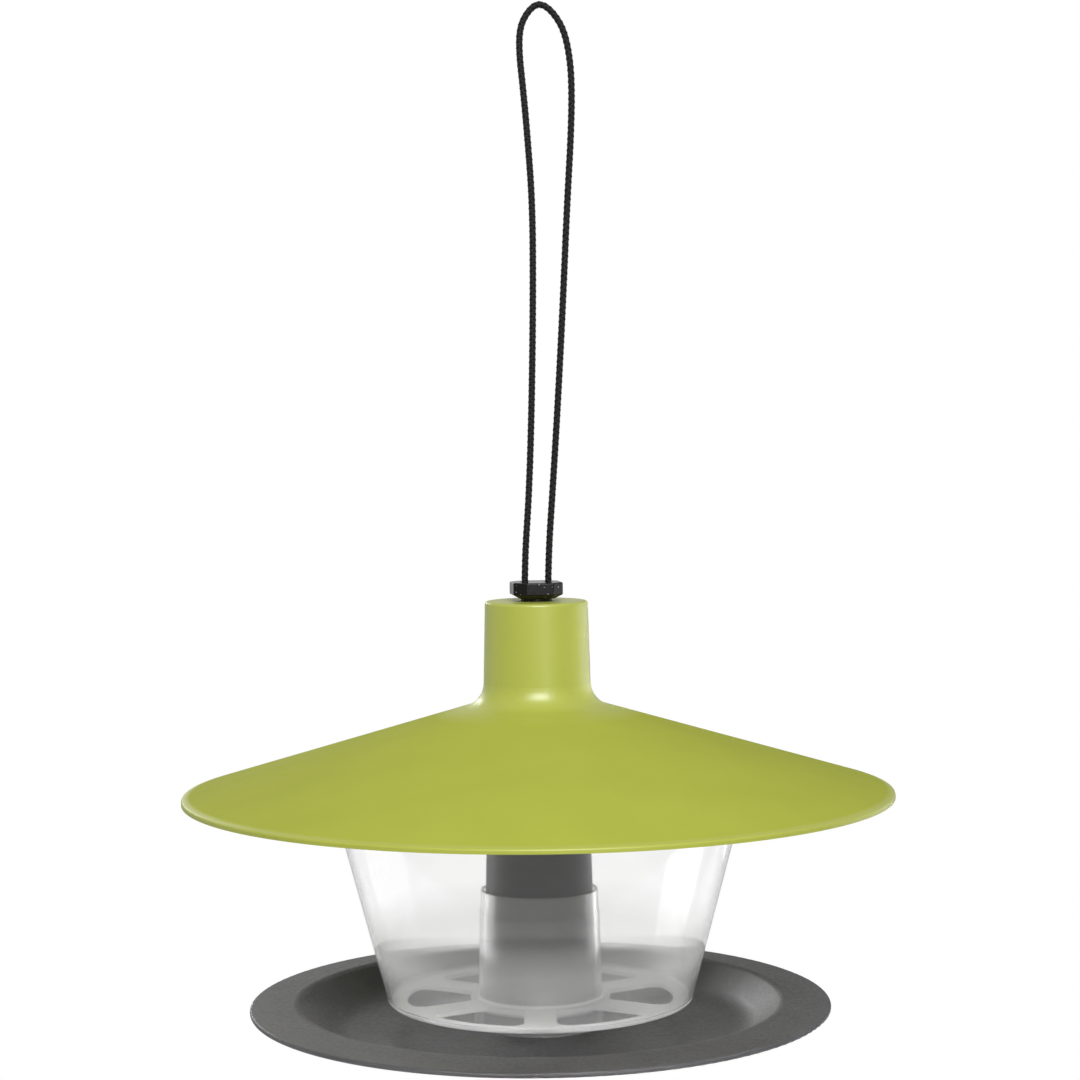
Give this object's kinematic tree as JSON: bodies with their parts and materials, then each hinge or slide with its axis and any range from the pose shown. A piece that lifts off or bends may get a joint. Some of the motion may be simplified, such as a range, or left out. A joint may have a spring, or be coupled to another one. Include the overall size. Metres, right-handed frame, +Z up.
{
  "type": "hanging bird feeder",
  "caption": "Hanging seed feeder: clear flared hopper with a slotted base on a central post, over a round dish tray and under a wide sliding roof, on a cord loop with a stopper.",
  "frame": {"origin": "inside top of the cord's loop, where it hangs, on the feeder's upright axis", "axes": "+Z up along the post's axis, +X along the line through the cord's two strands"},
  "size_m": [0.285, 0.285, 0.4132],
  "materials": {
    "roof_plastic": "lime green moulded plastic, satin with a fine grain",
    "tray_plastic": "dark grey moulded plastic, matt with a fine grain",
    "post_plastic": "dark grey moulded plastic, satin",
    "clear_plastic": "slightly hazy clear moulded plastic, glossy",
    "stopper_plastic": "black moulded plastic, glossy",
    "cord_braid": "black plaited cord"
  },
  "bodies": {
    "base": {"tray": "tray_plastic", "post": "post_plastic", "hanging_cord": "cord_braid", "cord_knots": "cord_braid"},
    "hopper": {"hopper": "clear_plastic"},
    "roof": {"roof": "roof_plastic"},
    "stopper": {"stopper": "stopper_plastic"}
  },
  "joints": [
    {"name": "hopper_lift", "type": "slide", "parent": "base", "child": "hopper", "axis": [0, 0, 1], "range_m": [0, 0.025], "deforming": ["hanging_cord"]},
    {"name": "roof_lift", "type": "slide", "parent": "hopper", "child": "roof", "axis": [0, 0, 1], "range_m": [0, 0.08], "deforming": ["hanging_cord"]},
    {"name": "stopper_slide", "type": "slide", "parent": "roof", "child": "stopper", "axis": [0, 0, 1], "range_m": [0, 0.025], "deforming": ["hanging_cord"]}
  ]
}
